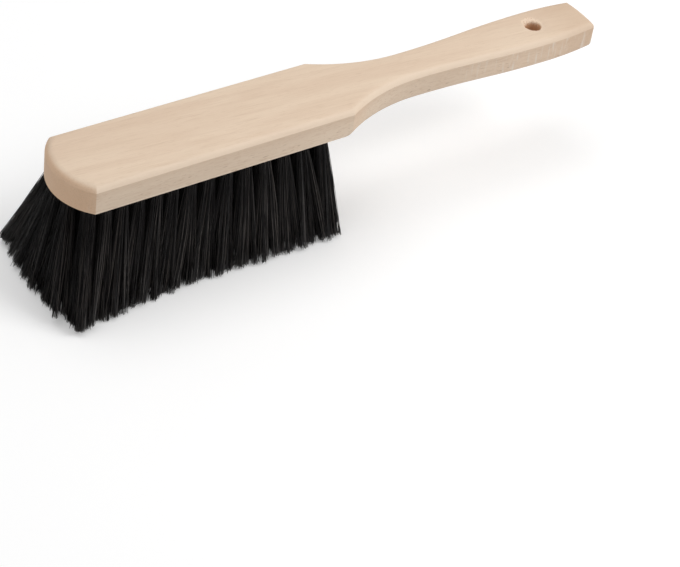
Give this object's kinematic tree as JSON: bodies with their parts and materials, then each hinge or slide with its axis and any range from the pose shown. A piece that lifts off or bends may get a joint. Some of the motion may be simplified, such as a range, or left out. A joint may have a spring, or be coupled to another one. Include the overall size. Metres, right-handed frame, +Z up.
{
  "type": "hand broom",
  "caption": "Hand brush with a flat beech back, a waisted handle with a hang hole, and a deep fanned field of black bristle tufts.",
  "frame": {"origin": "on the surface the broom stands on, under the middle of its bounding box", "axes": "+X along the broom from the bristle head's nose towards the handle's end, +Y across it, +Z up out of the flat back"},
  "size_m": [0.2936, 0.0746, 0.0632],
  "materials": {
    "beech": "sanded, unvarnished",
    "bristle": "black bristle, slightly glossy along each hair",
    "wire": "bright drawn wire"
  },
  "bodies": {
    "root": {"wooden_back": "beech", "tuft_row1_01": "bristle", "tuft_row1_02": "bristle", "tuft_row1_03": "bristle", "tuft_row1_04": "bristle", "tuft_row1_05": "bristle", "tuft_row1_06": "bristle", "tuft_row1_07": "bristle", "tuft_row1_08": "bristle", "tuft_row1_09": "bristle", "tuft_row1_10": "bristle", "tuft_row1_11": "bristle", "tuft_row1_12": "bristle", "tuft_row1_13": "bristle", "tuft_row1_14": "bristle", "tuft_row2_01": "bristle", "tuft_row2_02": "bristle", "tuft_row2_03": "bristle", "tuft_row2_04": "bristle", "tuft_row2_05": "bristle", "tuft_row2_06": "bristle", "tuft_row2_07": "bristle", "tuft_row2_08": "bristle", "tuft_row2_09": "bristle", "tuft_row2_10": "bristle", "tuft_row2_11": "bristle", "tuft_row2_12": "bristle", "tuft_row2_13": "bristle", "tuft_row2_14": "bristle", "tuft_row3_01": "bristle", "tuft_row3_02": "bristle", "tuft_row3_03": "bristle", "tuft_row3_04": "bristle", "tuft_row3_05": "bristle", "tuft_row3_06": "bristle", "tuft_row3_07": "bristle", "tuft_row3_08": "bristle", "tuft_row3_09": "bristle", "tuft_row3_10": "bristle", "tuft_row3_11": "bristle", "tuft_row3_12": "bristle", "tuft_row3_13": "bristle", "tuft_row3_14": "bristle", "tuft_row4_01": "bristle", "tuft_row4_02": "bristle", "tuft_row4_03": "bristle", "tuft_row4_04": "bristle", "tuft_row4_05": "bristle", "tuft_row4_06": "bristle", "tuft_row4_07": "bristle", "tuft_row4_08": "bristle", "tuft_row4_09": "bristle", "tuft_row4_10": "bristle", "tuft_row4_11": "bristle", "tuft_row4_12": "bristle", "tuft_row4_13": "bristle", "tuft_row4_14": "bristle", "tuft_staples": "wire"}
  },
  "joints": []
}
